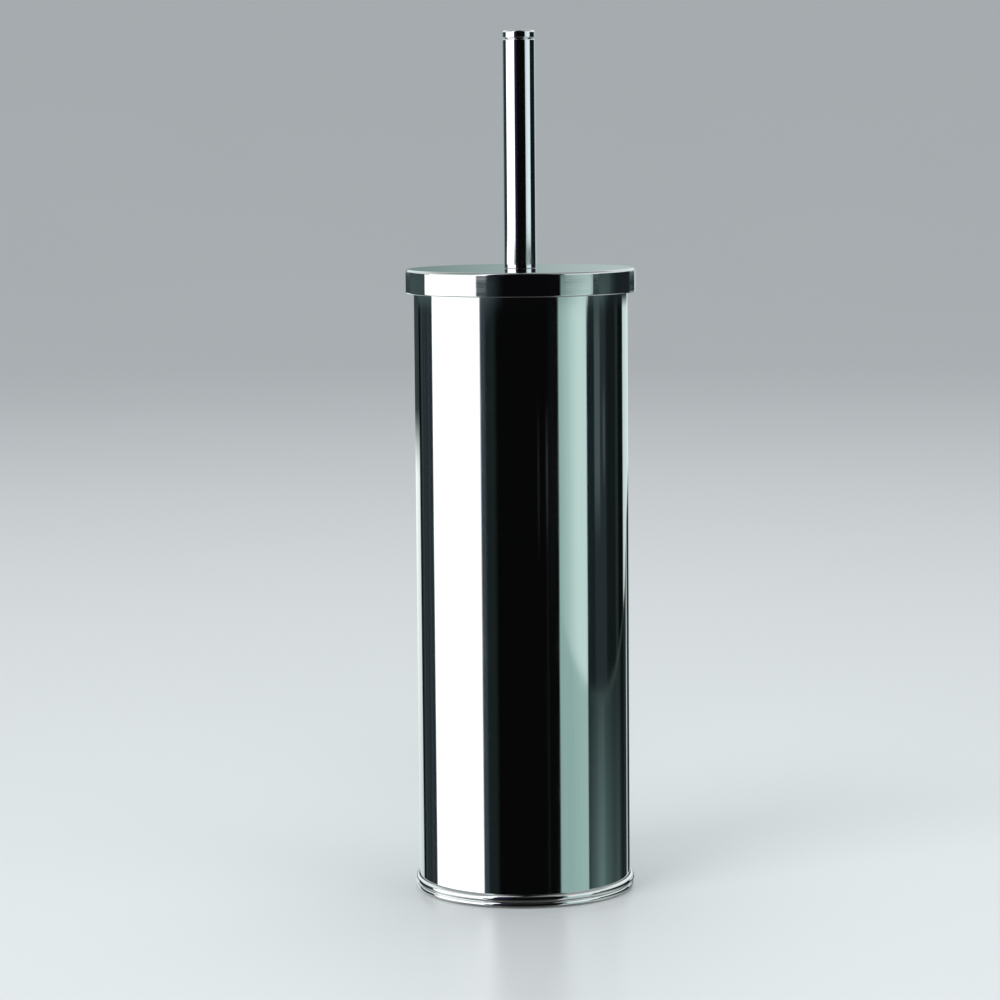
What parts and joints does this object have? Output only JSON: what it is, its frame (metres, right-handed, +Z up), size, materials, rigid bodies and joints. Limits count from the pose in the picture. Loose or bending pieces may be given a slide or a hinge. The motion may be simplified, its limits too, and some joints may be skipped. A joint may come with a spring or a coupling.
{
  "type": "toilet brush holder",
  "caption": "Covered toilet brush set: a tall polished steel canister with a lift-out plastic liner, and a brush with a chromed tube handle that hangs in it from a flat steel lid.",
  "frame": {"origin": "middle of the foot ring's underside, on the floor that the set stands on", "axes": "+Z up along the canister's axis and the handle; +X and +Y level, and alike because every outer piece is round"},
  "size_m": [0.1, 0.1, 0.3759],
  "materials": {
    "tube_steel": "polished stainless steel with faint upright drawing lines",
    "lid_steel": "fine-brushed stainless steel, lines round the skirt",
    "ring_chrome": "mirror-polished",
    "handle_chrome": "mirror-polished",
    "plain_steel": "plain mill finish",
    "insert_brass": "turned, unpolished",
    "liner_plastic": "moulded, fine satin",
    "insert_plastic": "moulded, satin",
    "core_plastic": "moulded, semi-gloss",
    "bristle": "drawn filaments, slightly translucent",
    "foot_rubber": "matte"
  },
  "bodies": {
    "canister": {"canister_shell": "tube_steel", "base_ring": "ring_chrome", "base_plate": "plain_steel", "foot_ring": "foot_rubber"},
    "liner": {"liner_cup": "liner_plastic"},
    "lid": {"lid_shell": "lid_steel", "lid_insert": "insert_plastic"},
    "brush": {"handle_tube": "handle_chrome", "handle_cap": "handle_chrome", "handle_insert": "insert_brass", "shaft_rod": "plain_steel", "lock_washer": "plain_steel", "lock_nut": "plain_steel", "brush_core": "core_plastic", "bristle_row_1": "bristle", "bristle_row_2": "bristle", "bristle_row_3": "bristle", "bristle_row_4": "bristle", "bristle_row_5": "bristle", "bristle_row_6": "bristle", "bristle_row_7": "bristle", "bristle_row_8": "bristle", "bristle_nose": "bristle"}
  },
  "joints": [
    {"name": "liner_lift", "type": "slide", "parent": "canister", "child": "liner", "axis": [0, 0, 1], "range_m": [0, 0.275]},
    {"name": "brush_lift", "type": "slide", "parent": "liner", "child": "lid", "axis": [0, 0, 1], "range_m": [0, 0.265]},
    {"name": "brush_spin", "type": "hinge", "parent": "lid", "child": "brush", "pos_m": [0, 0, 0.2732], "axis": [0, 0, 1], "continuous": true}
  ]
}
